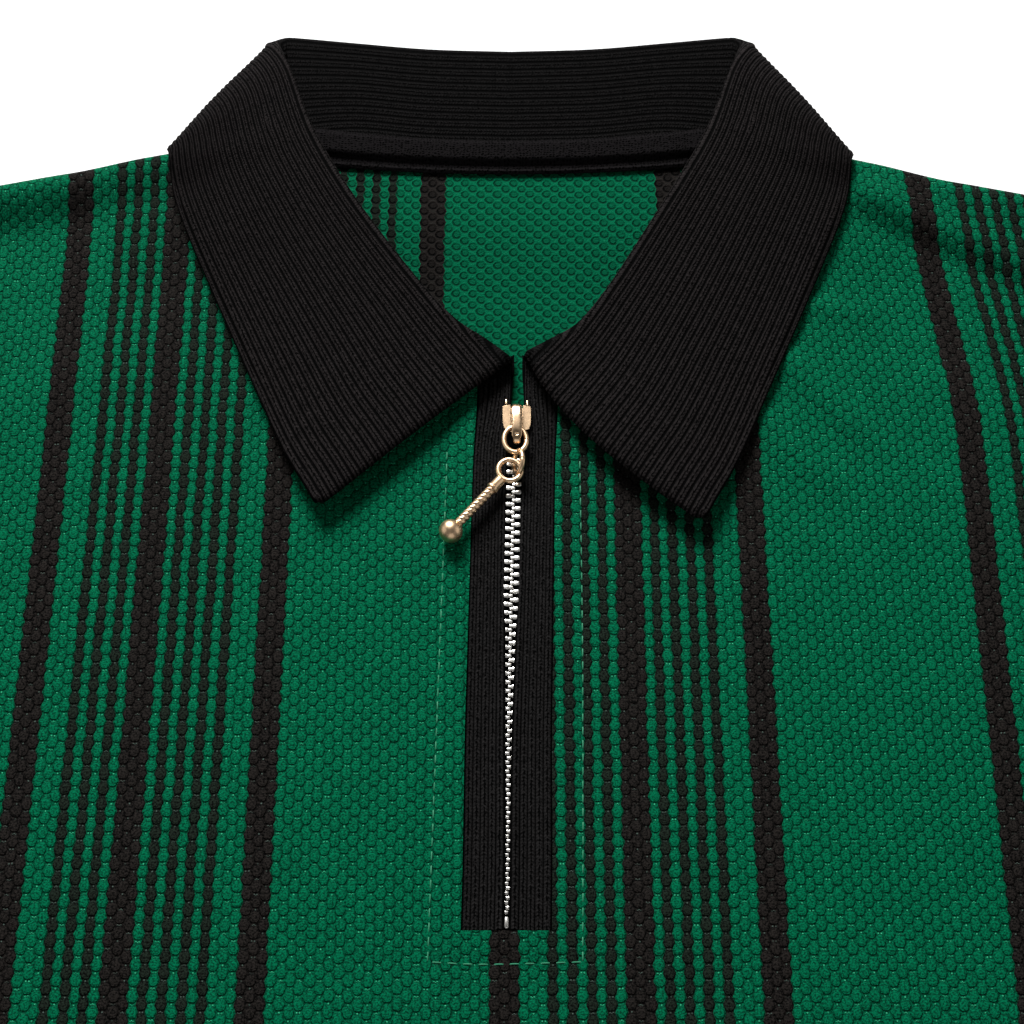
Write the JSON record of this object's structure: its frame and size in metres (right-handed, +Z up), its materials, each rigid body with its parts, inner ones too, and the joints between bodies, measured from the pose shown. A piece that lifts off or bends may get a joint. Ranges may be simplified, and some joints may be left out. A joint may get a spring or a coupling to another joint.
{
  "type": "zip-neck knit top with a rib polo collar, laid flat",
  "caption": "Long-sleeved striped bubble-knit top lying flat on its back, with a folded rib collar and a short exposed metal zip with a link and ball pull.",
  "frame": {"origin": "the middle of the laid-out garment's outline, on the surface it lies on", "axes": "+X to the right of someone who looks at the front, along both sleeves; +Y from hem to neck; +Z up from the surface, out of the front"},
  "size_m": [1.3406, 0.7388, 0.0156],
  "materials": {
    "bubble_knit": "matte bubble knit with dark stripes",
    "collar_rib": "matte black rib knit",
    "tape": "matte black ribbed tape",
    "zip_metal": "bright pressed metal",
    "gold_metal": "polished pale gold plating"
  },
  "bodies": {
    "garment": {"back": "bubble_knit", "front": "bubble_knit", "sleeve_left": "bubble_knit", "sleeve_right": "bubble_knit", "collar": "collar_rib", "neck_tape": "tape", "zip_tape_left": "tape", "zip_tape_right": "tape", "zip_teeth_left": "zip_metal", "zip_teeth_right": "zip_metal", "zip_stop": "zip_metal", "slider": "gold_metal"},
    "link": {"link": "gold_metal"},
    "pull": {"pull": "gold_metal"}
  },
  "joints": [
    {"name": "link_lift", "type": "hinge", "parent": "garment", "child": "link", "pos_m": [0.0022, 0.20522, 0.0092], "axis": [-1, 0, 0], "range_deg": [0, 150]},
    {"name": "pull_turn", "type": "hinge", "parent": "link", "child": "pull", "pos_m": [0.0003, 0.19009, 0.0092], "axis": [0, 0, 1], "range_deg": [-45, 120]}
  ]
}
